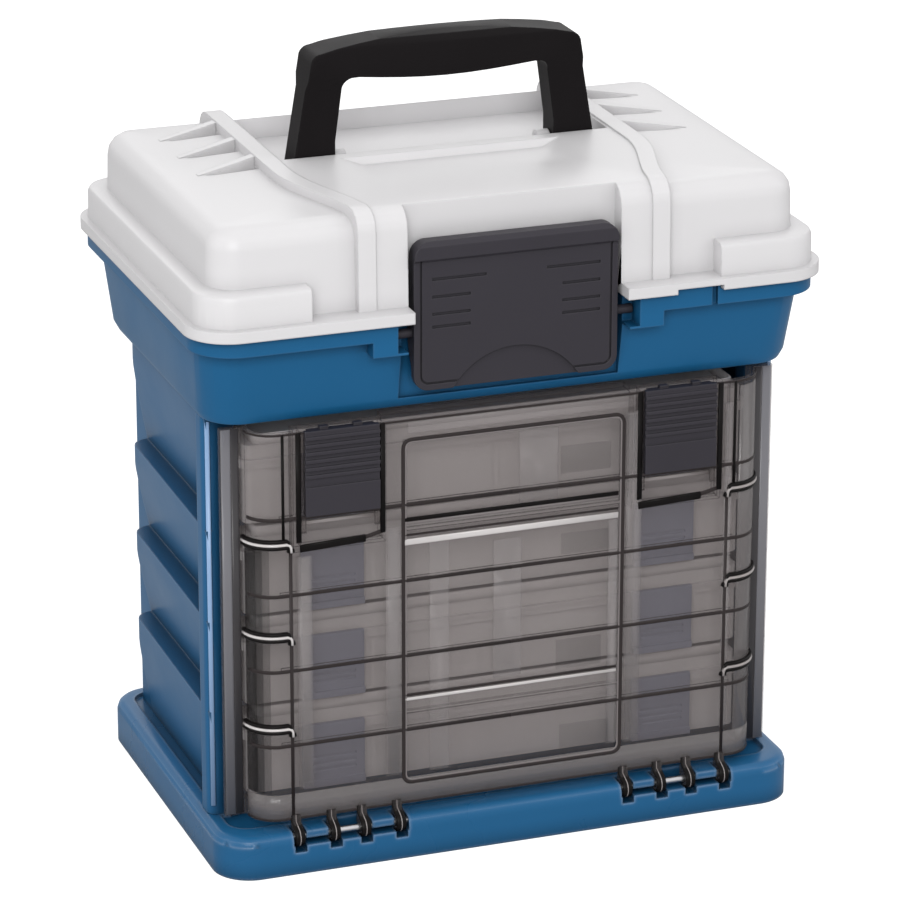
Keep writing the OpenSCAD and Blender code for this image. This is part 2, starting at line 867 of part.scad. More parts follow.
module ridge_plan() {
    w = ridge_w / 2;
    polygon(concat(
        [[ridge_x + w, lid_back], [ridge_x - w, lid_back]],
        [for (k = [0 : ridge_steps]) [ridge_line(ridge_y(k)) - w, ridge_y(k)]],
        [for (k = [ridge_steps : -1 : 0]) [ridge_line(ridge_y(k)) + w, ridge_y(k)]]
    ));
}

// Plan of the field between the ridges' middle lines
module field_plan() {
    polygon(concat(
        [[ridge_x, well_back], [-ridge_x, well_back]],
        [for (k = [0 : ridge_steps]) [-ridge_line(ridge_y(k)), ridge_y(k)]],
        [for (k = [ridge_steps : -1 : 0]) [ridge_line(ridge_y(k)), ridge_y(k)]]
    ));
}

claw_ys = [7, 35, 63];
claw_reach = 29;             // how far a claw reaches out from its ridge
claw_sweep = 10;             // how far it leans forwards on the way
scoop_d = 3;                 // depth of the scoop in front of it

// Gusset that falls away from the ridge to the shoulder of the dome
module claw(y) {
    x0 = ridge_x + ridge_w / 2 - 1;
    x1 = x0 + claw_reach;
    intersection() {
        linear_extrude(top_z + 2 * ridge_h)
            polygon([[x0, y - 2.6], [x1, y - claw_sweep - 1.6], [x1, y - claw_sweep + 1.6],
                     [x0, y + 2.6]]);
        pulled_y(y - 30, y + 30)
            polygon([[x0, top_z - 2], [x1, top_z - 2], [x1, top_z + 0.2], [x0, top_z + ridge_h - 0.4]]);
    }
}

// Scoop in front of a claw, deepest beside the ridge
module claw_scoop(y) {
    x0 = ridge_x + ridge_w / 2 + 0.4;
    x1 = x0 + claw_reach - 5;
    intersection() {
        translate([0, 0, top_z - scoop_d])
            linear_extrude(ridge_h + scoop_d)
                polygon([[x0, y - 2.6], [x0, y - 9.5], [x1, y - claw_sweep - 3],
                         [x1, y - claw_sweep - 1.4]]);
        pulled_y(y - 30, y + 30)
            polygon([[x0, top_z - scoop_d], [x1, top_z - 0.1], [x1, top_z + ridge_h],
                     [x0, top_z + ridge_h]]);
    }
}

module step_body() {
    h = lid_w / 2 - step_side;
    f = lid_front + step_side;
    b = lid_back - step_side;
    r = lip_r - step_side;
    e = step_edge;
    difference() {
        loft([
            [step_z - over, h, f, b, r],
            [dome_z - e, h - 0.2, f + 0.2, b - 0.2, r - 0.2],
            [dome_z - e * 0.3, h - 0.2 - e * 0.3, f + 0.2 + e * 0.3, b - 0.2 - e * 0.3, r - e * 0.3],
            [dome_z - skin, h - 0.2 - e, f + 0.2 + e, b - 0.2 - e, r - e]
        ], 48);
        // it runs round the ends and the back and stops short of the middle of the front
        block([-step_end, lid_front - over, step_z - 2 * over],
              [step_end, dome_front + 20, dome_z + over]);
    }
}

module lid_outside() {
    plate(lid_w, lid_front, lid_back, lip_r, lid_z, step_z);
    step_body();
    dome(0, step_z);
    intersection() {
        dome(panel_rise, step_z);
        linear_extrude(plateau_z + over)
            field_plan();
    }
    intersection() {
        dome(ridge_h, step_z);
        both_sides()
            linear_extrude(top_z + 2 * ridge_h)
                ridge_plan();
    }
    both_sides()
        for (y = claw_ys)
            claw(y);
}

lug_r = handle_pin_r + 1.9;

module handle_lug(x0, x1) {
    difference() {
        union() {
            bar(lug_r, x0, x1, handle_y, handle_z);
            block([x0, handle_y - lug_r, well_z - 1], [x1, handle_y + lug_r, handle_z]);
        }
        bar(handle_pin_r + run / 3, x0 - over, x1 + over, handle_y, handle_z);
    }
}

keeper_x0 = 70;              // notch in the lip where a raised part of the tub's rim shows
keeper_x1 = 91;
keeper_h = 2.2;
keeper_d = 3;

module lid_shell() {
    half = lid_recess_w / 2;
    color(white)
    difference() {
        union() {
            difference() {
                lid_outside();
                difference() {
                    union() {
                        plate(lid_w - 2 * (step_side + shell_t), lid_front + step_side + shell_t,
                              lid_back - step_side - shell_t, lip_r - step_side - shell_t,
                              lid_z - over, dome_z - shell_t);
                        dome(-shell_t, lid_z);
                    }
                    // floor under the handle well, and the wall behind the latch recess
                    block([-well_half - shell_t, well_front - shell_t, well_z - shell_t],
                          [well_half + shell_t, well_back + shell_t, top_z]);
                    block([-half - shell_t, lid_front, lid_z - over],
                          [half + shell_t, lid_recess_back + shell_t, top_z]);
                    block([-step_end - shell_t, lid_front, step_z - 4],
                          [step_end + shell_t, dome_front + shell_t, dome_z]);
                    // thicker skin under the scoops
                    both_sides()
                        block([ridge_x, claw_ys[0] - 13, top_z - scoop_d - shell_t],
                              [ridge_x + ridge_w / 2 + claw_reach, claw_ys[2] + 3, top_z]);
                }
                // well for the folded handle
                block([-well_half, well_front, well_z], [well_half, well_back, top_z + 9]);
                // shallow field in front of the handle, with sloping sides
                hull() {
                    block([-field_x, field_y, plateau_z], [field_x, well_front - 6, plateau_z + over]);
                    block([-field_x + 9, field_y + 24, plateau_z - field_drop],
                          [field_x - 9, well_front - 9, plateau_z]);
                }
                both_sides()
                    for (y = claw_ys)
                        claw_scoop(y);
                // recess for the front latch
                block([-half, lid_front - over, lid_z - over], [half, lid_recess_back, plateau_z + over]);
                // notch in the lip
                block([keeper_x0, lid_front - over, lid_z - over],
                      [keeper_x1, flange_front_y + keeper_d + fit, lid_z + keeper_h]);
            }
            both_sides()
                handle_lug(handle_w / 2 - 26, handle_w / 2 - 20.3);
            // thin rib across the floor of the well
            block([-36, 25, well_z - 1], [36, 26.4, well_z + 1]);
            // middle knuckles of the rear hinge
            for (s = [-1, 1]) {
                bar(lid_knuckle_r, s * lid_hinge_x - knuckle_w / 2, s * lid_hinge_x + knuckle_w / 2,
                    lid_hinge_y, lid_z);
                block([s * lid_hinge_x - knuckle_w / 2, lid_back - 3, lid_z],
                      [s * lid_hinge_x + knuckle_w / 2, lid_hinge_y, lid_z + lid_knuckle_r]);
            }
        }
        for (s = [-1, 1]) {
            bar(lid_pin_r + run, s * lid_hinge_x - knuckle_span, s * lid_hinge_x + knuckle_span,
                lid_hinge_y, lid_z);
            for (o = [-1, 1])
                bar(lid_knuckle_r + 0.5, s * lid_hinge_x + o * knuckle_step - tub_knuckle_w / 2 - 0.4,
                    s * lid_hinge_x + o * knuckle_step + tub_knuckle_w / 2 + 0.4, lid_hinge_y, lid_z);
        }
    }
}

// ---------------------------------------------------------------- handle

foot_w = 19.9;               // width of a leg at its foot

module handle() {
    h = handle_h;
    w = handle_w / 2;
    color(black)
    difference() {
        intersection() {
            // front view: flaring legs, arched top and a grip that swells downwards
            pulled_y(handle_y - grip_t / 2, handle_y + grip_t / 2)
                translate([0, handle_z])
                    difference() {
                        polygon(concat(
                            [[w, -foot_r], [w - 1.2, 0]],
                            [for (a = [0 : 15 : 90]) [w - 13.5 + 5 * cos(a), h - 10.5 + 5 * sin(a)]],
                            [for (x = [50 : -10 : -50]) [x, h - 5.2 + 5.2 * (1 - pow(x / 57, 2))]],
                            [for (a = [90 : 15 : 180]) [-w + 13.5 + 5 * cos(a), h - 10.5 + 5 * sin(a)]],
                            [[-w + 1.2, 0], [-w, -foot_r]]
                        ));
                        polygon(concat(
                            [[w - foot_w, -foot_r - over], [w - foot_w, foot_r + 3]],
                            [for (a = [0 : 15 : 75]) [w - 28 + 5 * cos(a), h - 22 + 5 * sin(a)]],
                            [for (x = [40 : -10 : -40]) [x, h - 17 - 3 * cos(x * 2.25)]],
                            [for (a = [105 : 15 : 180]) [-w + 28 + 5 * cos(a), h - 22 + 5 * sin(a)]],
                            [[-w + foot_w, foot_r + 3], [-w + foot_w, -foot_r - over]]
                        ));
                    }
            // side view: round feet, straight legs and a fuller grip
            pulled_x(-w - over, w + over)
                translate([handle_y, handle_z])
                    polygon(concat(
                        [for (a = [180 : 15 : 360]) [foot_r * cos(a), foot_r * sin(a)]],
                        [[foot_r, h - 22], [grip_t / 2, h - 17], [grip_t / 2, h - 4.5],
                         [grip_t / 2 - 1.5, h - 1.5], [grip_t / 2 - 5, h], [-grip_t / 2 + 5, h],
                         [-grip_t / 2 + 1.5, h - 1.5], [-grip_t / 2, h - 4.5],
                         [-grip_t / 2, h - 17], [-foot_r, h - 22]]
                    ));
        }
        // blind bores for the pivot pins
        both_sides()
            bar(handle_pin_r + run, w - foot_w - over, w - 8, handle_y, handle_z);
    }
}

module handle_pivot_pins() {
    color(steel)
    both_sides()
        bar(handle_pin_r, handle_w / 2 - 26, handle_w / 2 - 8.5, handle_y, handle_z);
}

// ---------------------------------------------------------------- front latch

latch_z = rim_z - latch_drop;
latch_t = 2.6;
latch_r = 6.5;               // corners of the latch
dish_r = 33;                 // round upper edge of the thumb dish
dish_h = 15.6;               // height of the thumb dish
grip_zs = [2.2, 7.8, 15.3, 23];    // heights of the grip lines above the pivot

module latch_outline(grow) {
    translate([0, latch_z + latch_h / 2])
        rounded(latch_w + 2 * grow, latch_h + 2 * grow, latch_r + grow);
}

module front_latch() {
    top = latch_z + latch_h;
    face = latch_face;
    color(graphite)
    difference() {
        union() {
            intersection() {
                pulled_y(face - 3, face + 9)
                    latch_outline(0);
                pulled_x(-latch_w, latch_w)
                    polygon([[face, latch_z], [face, top - 9], [face - 1.6, top - 7.5],
                             [face - 1.6, top - 2], [face, top], [face + 5.6, top],
                             [face + 6.6, top - 8], [face + 8.4, latch_pin_z + 7],
                             [face + 8.4, latch_pin_z - 5], [face + 4, latch_z + 10],
                             [face + latch_t, latch_z]]);
            }
        }
        // hollow back between the side cheeks, clear of the pivot bosses
        intersection() {
            pulled_y(face + latch_t, face + 12)
                latch_outline(-2.4);
            union() {
                for (x = [-latch_w / 2 + 12, 4])
                    block([x, face + latch_t, latch_z], [x + latch_w / 2 - 16, face + 12, top]);
            }
        }
        bar(latch_pin_r + run, -latch_w, latch_w, latch_pin_y, latch_pin_z);
        // groove round the face, and grip lines
        pulled_y(face - over, face + 0.8)
            difference() {
                latch_outline(-2.6);
                latch_outline(-3.5);
            }
        both_sides()
            for (k = [0 : 3])
                block([latch_w / 2 - 8 - (k == 3 ? 24 : 17), face - over, latch_pin_z + grip_zs[k]],
                      [latch_w / 2 - 8, face + 0.7, latch_pin_z + grip_zs[k] + 1.2]);
        // half-moon thumb dish at the lower edge
        translate([0, face + 1.3, latch_z + dish_h - dish_r])
            rotate([90, 0, 0])
                cylinder(r = dish_r, h = 4);
    }
}

module front_latch_pin() {
    half = recess_w / 2 + shell_t + 1.4;
    color(steel)
    bar(latch_pin_r, -half, half, latch_pin_y, latch_pin_z);
}

// ---------------------------------------------------------------- assembly

base_plinth();
side_wall_left();
side_wall_right();
back_wall();
storage_tub();
door_hinge_pins();
front_latch_pin();
lid_hinge_pins();
lid_shell();
handle_pivot_pins();
handle();
front_latch();
door_panel();
door_latch(-1);  // door_latch_left
door_latch(1);  // door_latch_right
box_tray(1);  // box_1_tray
box_dividers(1);  // box_1_dividers
box_lid(1);  // box_1_lid
box_latches(1);  // box_1_latches
box_tray(2);  // box_2_tray
box_dividers(2);  // box_2_dividers
box_lid(2);  // box_2_lid
box_latches(2);  // box_2_latches
box_tray(3);  // box_3_tray
box_dividers(3);  // box_3_dividers
box_lid(3);  // box_3_lid
box_latches(3);  // box_3_latches
box_tray(4);  // box_4_tray
box_dividers(4);  // box_4_dividers
box_lid(4);  // box_4_lid
box_latches(4);  // box_4_latches
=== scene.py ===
import json
import math

import bmesh
import bpy
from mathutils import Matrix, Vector


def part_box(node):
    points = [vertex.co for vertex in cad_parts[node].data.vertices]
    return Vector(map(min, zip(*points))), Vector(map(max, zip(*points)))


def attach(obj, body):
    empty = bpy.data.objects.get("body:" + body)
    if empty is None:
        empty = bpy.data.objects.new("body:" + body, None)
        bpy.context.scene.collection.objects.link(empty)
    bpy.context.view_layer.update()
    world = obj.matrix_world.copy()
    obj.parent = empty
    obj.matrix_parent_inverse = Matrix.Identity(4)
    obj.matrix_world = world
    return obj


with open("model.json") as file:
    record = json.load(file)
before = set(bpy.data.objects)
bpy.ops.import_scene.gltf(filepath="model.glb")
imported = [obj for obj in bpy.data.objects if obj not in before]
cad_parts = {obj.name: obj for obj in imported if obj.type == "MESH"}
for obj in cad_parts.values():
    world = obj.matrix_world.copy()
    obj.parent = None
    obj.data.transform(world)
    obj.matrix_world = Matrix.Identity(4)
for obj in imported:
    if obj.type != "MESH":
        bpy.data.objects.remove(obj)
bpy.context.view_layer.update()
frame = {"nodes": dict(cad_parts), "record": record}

nodes = frame["nodes"]


# ------------------------------------------------------------------ node graphs

class Graph:
    """A short way to write the nodes of a material or of the world."""

    def __init__(self, owner):
        owner.use_nodes = True
        self.owner = owner
        self.tree = owner.node_tree
        self.tree.nodes.clear()

    def add(self, kind, ins=None, **props):
        node = self.tree.nodes.new(kind)
        for name, value in props.items():
            setattr(node, name, value)
        for name, value in (ins or {}).items():
            if isinstance(value, bpy.types.NodeSocket):
                self.tree.links.new(value, node.inputs[name])
            else:
                node.inputs[name].default_value = value
        return node

    def place(self, scale=None):
        """The point on the object, stretched by a scale along each axis if one is given."""
        point = self.add("ShaderNodeTexCoord").outputs["Object"]
        if scale:
            point = self.add("ShaderNodeMapping", {"Vector": point, "Scale": scale}).outputs["Vector"]
        return point

    def noise(self, point, scale=1.0, detail=2.0, roughness=0.5):
        ins = {"Vector": point, "Scale": scale, "Detail": detail, "Roughness": roughness}
        return self.add("ShaderNodeTexNoise", ins).outputs["Fac"]

    def ramp(self, value, start, end, low, high):
        """A result that runs from low to high while the value runs from start to end."""
        ins = {"Value": value, "From Min": start, "From Max": end, "To Min": low, "To Max": high}
        return self.add("ShaderNodeMapRange", ins).outputs["Result"]

    def blend(self, factor, a, b, kind="RGBA"):
        return self.add("ShaderNodeMix", {"Factor": factor, "A": a, "B": b}, data_type=kind).outputs["Result"]

    def larger(self, a, b):
        return self.add("ShaderNodeMath", {0: a, 1: b}, operation="MAXIMUM").outputs[0]

    def round_normal(self, radius, samples):
        """The surface's normal with its edges rounded."""
        return self.add("ShaderNodeBevel", {"Radius": radius}, samples=samples).outputs["Normal"]

    def bump(self, height, strength, distance, normal=None):
        ins = {"Height": height, "Strength": strength, "Distance": distance}
        if normal is not None:
            ins["Normal"] = normal
        return self.add("ShaderNodeBump", ins).outputs["Normal"]

    def edges(self, radius, start, end, most):
        """0 on flat faces and up to most on edges, where a rounded normal departs from the real one."""
        true = self.add("ShaderNodeNewGeometry").outputs["Normal"]
        dot = self.add("ShaderNodeVectorMath", {0: self.round_normal(radius, 4), 1: true},
                       operation="DOT_PRODUCT")
        return self.ramp(dot.outputs["Value"], start, end, 0.0, most)

    def either(self, factor, a, b):
        """The shader a where the factor is 0, and b where it is 1."""
        return self.add("ShaderNodeMixShader", {0: factor, 1: a, 2: b}).outputs[0]

    def finish(self, surface, kind="ShaderNodeOutputMaterial"):
        self.add(kind, {"Surface": surface})
        return self.owner


def material(name):
    return Graph(bpy.data.materials.new(name))


def rgba(colour, times=1.0, plus=0.0):
    """A colour with its alpha, made darker or paler."""
    return tuple(min(1, c * times + plus) for c in colour) + (1,)


# ------------------------------------------------------------------ materials

def plastic(name, colour, rough, grain, bevel, wear_and_sheen=0.0, gloss=0.3, coat=0.0, patch=0.04, grain_size=0.0011,
            spread=1.6, rub_and_sheen=0.22, crease_shade=0.0, reach=0.008):
    """Moulded plastic: a faintly cloudy colour, a fine skin, paler edges that are partly rubbed wear and
    partly painted highlight, and painted shade in its creases.
    Lengths are in metres. Spread is the pale edges' width in bevels, and rub_and_sheen is how much paler they
    are."""
    g = material(name)
    cloud = g.noise(g.place(), scale=22.0, detail=3.0, roughness=0.55)
    base = g.blend(cloud, rgba(colour, 1 - patch), rgba(colour, 1 + patch))
    # pale edges: rubbed wear where wear_and_sheen is small, a painted highlight along the edge where it is
    # large
    colour_out = g.blend(g.edges(bevel * spread, 1.0, 0.75, wear_and_sheen), base, rgba(colour, plus=rub_and_sheen))
    # painted shade: the colour darkens where ambient occlusion finds other surfaces near, in creases, at
    # joints and under overhangs
    if crease_shade:
        near = g.add("ShaderNodeAmbientOcclusion", {"Distance": reach}, samples=4).outputs["AO"]
        colour_out = g.blend(g.ramp(near, 0.25, 0.95, crease_shade, 0.0), colour_out, rgba(colour, 0.15))
    fine = g.noise(g.place(), scale=1.0 / grain_size)
    bsdf = g.add("ShaderNodeBsdfPrincipled", {
        "Base Color": colour_out,
        "Roughness": g.ramp(cloud, 0.3, 0.7, rough * 0.9, rough * 1.12),
        "Normal": g.bump(fine, grain, 0.00006, g.round_normal(bevel, 6)),
        "Specular IOR Level": gloss,
        "Coat Weight": coat,
        "Coat Roughness": 0.12})
    return g.finish(bsdf.outputs["BSDF"])


def see_through(name, through, body, share, rough, bevel, edge_dark=0.75, graze=0.5):
    """Clear or smoked plastic: part of the light passes tinted, and a share meets a faint milky body.
    Its edges, and faces seen along their surface, are darker, as the thick rims of such a moulding are."""
    g = material(name)
    cloud = g.noise(g.place(), scale=14.0, detail=3.0)
    flow = g.noise(g.place((9.0, 9.0, 55.0)))
    lines = g.noise(g.place((60.0, 60.0, 9.0)))
    tone = g.blend(g.blend(0.5, cloud, flow, "FLOAT"), rgba(body, 0.86), rgba(body, 1.14))
    soft = g.round_normal(bevel, 4)
    edge_width = 0.0008
    facing = g.add("ShaderNodeLayerWeight", {"Blend": 0.3, "Normal": soft}).outputs["Facing"]
    shade = g.larger(g.edges(edge_width, 0.99, 0.85, edge_dark), g.ramp(facing, 0.45, 1.0, 0.0, graze))
    milky = g.add("ShaderNodeBsdfPrincipled", {
        "Base Color": g.blend(shade, tone, rgba(body, 0.12)),
        "Roughness": rough,
        "Normal": g.bump(lines, 0.05, 0.0008, soft)})
    clear = g.add("ShaderNodeBsdfTransparent", {"Color": rgba(through)})
    milkiness = g.ramp(shade, 0.0, 1.0, share, 1.0)
    return g.finish(g.either(milkiness, clear.outputs["BSDF"], milky.outputs["BSDF"]))


def drawn_metal(name, colour, rough):
    """Drawn wire: fine lines along its length."""
    g = material(name)
    lines = g.noise(g.place((40.0, 2500.0, 2500.0)))
    bsdf = g.add("ShaderNodeBsdfPrincipled", {
        "Base Color": g.blend(lines, rgba(colour, 0.8), rgba(colour)),
        "Metallic": 1.0,
        "Roughness": rough,
        "Normal": g.bump(lines, 0.2, 0.00003)})
    return g.finish(bsdf.outputs["BSDF"])


def fine_line(name, colour, rough, **more):
    """Plastic of a form that is too thin for a grain or a rubbed edge."""
    return plastic(name, colour, rough, grain=0.05, bevel=0.0002, **more)


def tint(name, body, share):
    """A veil on the door: nothing but a faint share of another body, which makes the plastic paler or darker
    where it lies.
    """
    return see_through(name, (1, 1, 1), body, share, rough=0.16, bevel=0.0003, edge_dark=0.0, graze=0.0)


# crease_shade is painted shade in creases, at joints and under overhangs
BLUE = plastic("body_blue", (0.012, 0.112, 0.256), rough=0.34, grain=0.1, bevel=0.0008, wear_and_sheen=0.10, gloss=0.16,
               crease_shade=0.75, reach=0.009)
# painted highlights on the wide pale edges of the posts, and painted shade under the ledges through the long
# reach
WALL_BLUE = plastic("body_blue_posts", (0.016, 0.112, 0.255), rough=0.34, grain=0.1, bevel=0.0009, wear_and_sheen=0.25,
                    gloss=0.2, spread=2.2, rub_and_sheen=0.2, crease_shade=0.92, reach=0.02)
# painted highlights on the wide pale edges along the plinth's rim, and painted shade round the foot of the
# walls
PLINTH_BLUE = plastic("plinth_blue", (0.014, 0.112, 0.256), rough=0.28, grain=0.1, bevel=0.0013, wear_and_sheen=0.65,
                      gloss=0.25, spread=2.0, rub_and_sheen=0.24, crease_shade=0.8, reach=0.009)
# painted highlight: the pale blue of the shine down each front post's rounded edge
POST_HIGHLIGHT_BLUE = plastic("post_highlight_blue", (0.28, 0.43, 0.67), rough=0.25, grain=0.1, bevel=0.0004)
WHITE = plastic("lid_white", (0.685, 0.675, 0.685), rough=0.36, grain=0.2, bevel=0.001, patch=0.025,
                crease_shade=0.28)
GREY = plastic("latch_grey", (0.033, 0.030, 0.038), rough=0.42, grain=0.5, bevel=0.0007, wear_and_sheen=0.05,
               gloss=0.25, crease_shade=0.7, reach=0.004)
# painted shade: near-black strips along the front latch's sides and upper edge
LATCH_SHADE_BLACK = plastic("front_latch_shade_black", (0.006, 0.005, 0.0065), rough=0.35, grain=0.4, bevel=0.0003,
                    gloss=0.15)
BLACK = plastic("handle_black", (0.0065, 0.0052, 0.0058), rough=0.5, grain=0.6, bevel=0.0012, wear_and_sheen=0.01,
                gloss=0.1, grain_size=0.0007)
LATCH_BLUE = plastic("box_latch_blue", (0.25, 0.265, 0.335), rough=0.4, grain=0.0, bevel=0.0004)
STEEL = drawn_metal("pin_steel", (0.62, 0.62, 0.64), 0.3)

SMOKE = see_through("door_smoke", (0.955, 0.94, 0.935), (0.155, 0.138, 0.138), 0.2, rough=0.16, bevel=0.0006)
CLEAR = see_through("box_clear", (0.97, 0.965, 0.965), (0.96, 0.905, 0.91), 0.56, rough=0.2, bevel=0.0004,
                    edge_dark=0.0, graze=0.0)
THICK = see_through("door_thick_rim", (0.95, 0.935, 0.93), (0.27, 0.25, 0.25), 0.42, rough=0.16, bevel=0.0003,
                    edge_dark=0.3, graze=0.0)
PALE_VEIL = tint("door_pale_veil", (0.66, 0.61, 0.61), 0.12)
DARK_VEIL = tint("door_dark_veil", (0.02, 0.018, 0.018), 0.12)
SQUARE_VEIL = tint("door_square_veil", (0.12, 0.115, 0.115), 0.05)

DARK_LINE = fine_line("door_dark_edge", (0.006, 0.005, 0.005), 0.4, gloss=0.1)
RIB_LINE = fine_line("door_rib", (0.032, 0.026, 0.026), 0.4, gloss=0.15)
DIM_LINE = fine_line("door_dim_edge", (0.19, 0.17, 0.17), 0.2, coat=0.3)
# painted highlights down the hinge fingers and on the right shelf beads; also the pale step in each latch
# pocket
MID_LINE = fine_line("door_mid_edge", (0.34, 0.31, 0.305), 0.2, coat=0.3)
# painted highlights: pale lines on the window's steps and on the left shelf beads
PALE_HIGHLIGHT = fine_line("door_pale_highlight", (0.62, 0.59, 0.585), 0.18, coat=0.5)
HAZE = fine_line("door_flange_haze", (0.185, 0.183, 0.2), 0.25)
# painted shade: the dark strip between a flange and the tray
GLOOM = fine_line("door_flange_gloom", (0.05, 0.047, 0.05), 0.25)


# ------------------------------------------------------------------ the CAD nodes

SLOT_LOOKS = {"body_blue": BLUE, "lid_white": WHITE, "latch_grey": GREY, "handle_black": BLACK,
              "box_latch_blue": LATCH_BLUE, "door_smoke": SMOKE, "box_clear": CLEAR, "pin_steel": STEEL}
NODE_LOOKS = {"side_wall_left": WALL_BLUE, "side_wall_right": WALL_BLUE, "base_plinth": PLINTH_BLUE}

WELD = 2e-6              # m, points of the tessellation that are nearer than this are one
SMOOTH_UP_TO = 29        # degrees between two faces that still shade as one
ROUND_FROM = 34          # degrees between two faces from which their edge is rounded
OTHER_ROUND = 0.3        # mm, rounding of the nodes that aren't named below
ROUNDS = {"lid_shell": 0.9, "storage_tub": 0.7, "base_plinth": 0.5, "handle": 1.2, "front_latch": 0.5,
          "door_panel": 0.4, "side_wall_left": 0.5, "side_wall_right": 0.5}


def smoothing_group():
    """Welds the tessellation and shades it smooth, except over sharp edges."""
    group = bpy.data.node_groups.new("weld_and_smooth", "GeometryNodeTree")
    for way in ("INPUT", "OUTPUT"):
        group.interface.new_socket("Geometry", in_out=way, socket_type="NodeSocketGeometry")
    new, link = group.nodes.new, group.links.new
    bare = new("GeometryNodeRemoveAttribute")
    bare.inputs["Name"].default_value = "custom_normal"
    weld = new("GeometryNodeMergeByDistance")
    weld.inputs["Distance"].default_value = WELD
    faces = new("GeometryNodeSetShadeSmooth")
    faces.domain = "FACE"
    edges = new("GeometryNodeSetShadeSmooth")
    edges.domain = "EDGE"
    sharp_edges = new("GeometryNodeSetShadeSmooth")
    sharp_edges.domain = "EDGE"
    sharp_edges.inputs["Shade Smooth"].default_value = False
    angle = new("GeometryNodeInputMeshEdgeAngle")
    sharp = new("FunctionNodeCompare")
    sharp.data_type, sharp.operation = "FLOAT", "GREATER_THAN"
    sharp.inputs[1].default_value = math.radians(SMOOTH_UP_TO)
    link(angle.outputs["Unsigned Angle"], sharp.inputs[0])
    link(sharp.outputs["Result"], sharp_edges.inputs["Selection"])
    chain = (new("NodeGroupInput"), bare, weld, faces, edges, sharp_edges, new("NodeGroupOutput"))
    for before, after in zip(chain, chain[1:]):
        link(before.outputs[0], after.inputs[0])
    return group


def soften(thing, group, width):
    """Smooth shading and a small round on the sharp edges of a CAD node."""
    thing.modifiers.new("smooth", "NODES").node_group = group
    bevel = thing.modifiers.new("edges", "BEVEL")
    bevel.width, bevel.segments = width / 1000, 2
    bevel.limit_method, bevel.angle_limit = "ANGLE", math.radians(ROUND_FROM)
    bevel.miter_outer = "MITER_ARC"
    bevel.use_clamp_overlap = True
    bevel.harden_normals = True


def dress_nodes():
    """Gives each CAD node its material and its soft edges. The drawn pins keep their mesh as it is."""
    group = smoothing_group()
    for row in frame["record"]["subparts"]:
        name, slot = row["node"], row["material_slot"]
        nodes[name].data.materials.clear()
        nodes[name].data.materials.append(NODE_LOOKS.get(name, SLOT_LOOKS[slot]))
        if slot != "pin_steel":
            soften(nodes[name], group, ROUNDS.get(name, OTHER_ROUND))


# ------------------------------------------------------------------ moulded forms

OUT = Vector((0, -1, 0))         # towards the front


def mm(x, y, z):
    return Vector((x, y, z)) / 1000


def box_mm(node):
    """Lowest and highest corner of a CAD node, in millimetres."""
    return [[round(v * 1000, 3) for v in end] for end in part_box(node)]


def skin(mesh, rings, closed=False):
    """Joins rings of vertices to a tube, with flat ends unless it runs back into itself."""
    size = len(rings[0])
    for a, b in zip(rings, rings[1:] + rings[:1] if closed else rings[1:]):
        for k in range(size):
            mesh.faces.new((a[k], a[(k + 1) % size], b[(k + 1) % size], b[k]))
    if not closed:
        mesh.faces.new(rings[0])
        mesh.faces.new(rings[-1][::-1])


def strip(mesh, points, ups, width, rise, sink=0.2, closed=False):
    """Adds a moulded rib with a rounded top that follows the points and stands out along the ups.
    Width, rise and sink, which is how far it reaches into the surface, are in millimetres."""
    profile = ((-0.5, -sink), (-0.46, rise * 0.6), (-0.28, rise * 0.93), (0.0, rise),
               (0.28, rise * 0.93), (0.46, rise * 0.6), (0.5, -sink))
    rings = []
    count = len(points)
    for i, (point, up) in enumerate(zip(points, ups)):
        before = points[i - 1] if closed or i else point
        after = points[(i + 1) % count] if closed or i < count - 1 else point
        side = (after - before).normalized().cross(up).normalized()
        rings.append([mesh.verts.new(point + side * (across * width / 1000) + up * (height / 1000))
                      for across, height in profile])
    skin(mesh, rings, closed)


def band(mesh, points, ups, foot, head, rise=0.05):
    """Adds a thin upright skin that follows the points of a plan between two heights."""
    sink = 0.2
    corners = ((-sink, foot), (rise, foot), (rise, head), (-sink, head))
    skin(mesh, [[mesh.verts.new(point + up * (depth / 1000) + mm(0, 0, z)) for depth, z in corners]
                for point, up in zip(points, ups)])


def rounded(half, low, high, radius):
    """Outline of a rectangle with round corners, from -half to half and from low to high."""
    steps = 5
    centres = ((half - radius, high - radius), (radius - half, high - radius),
               (radius - half, low + radius), (half - radius, low + radius))
    outline = []
    for quarter, (u, v) in enumerate(centres):
        for k in range(steps + 1):
            a = math.radians(90 * quarter + 90 * k / steps)
            outline.append((u + radius * math.cos(a), v + radius * math.sin(a)))
    return outline


def piece(name, mesh, look, body):
    """Turns a mesh into a piece of the visual model that rides on a body."""
    bmesh.ops.recalc_face_normals(mesh, faces=mesh.faces)
    data = bpy.data.meshes.new(name)
    mesh.to_mesh(data)
    mesh.free()
    for face in data.polygons:
        face.use_smooth = True
    o = bpy.data.objects.new(name, data)
    bpy.context.collection.objects.link(o)
    o.data.materials.append(look)
    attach(o, body)


# ------------------------------------------------------------------ stacking rims of the boxes

BOXES = 4
RIM_IN_X, RIM_IN_Y = 6.0, 2.0        # mm, from the lid's outline to the rim's
RIM_CORNER = 4.0
RIM_PROFILE = ((0.0, -0.2), (0.0, 4.2), (0.35, 4.6), (1.35, 4.6), (1.7, 4.2), (1.7, -0.2))


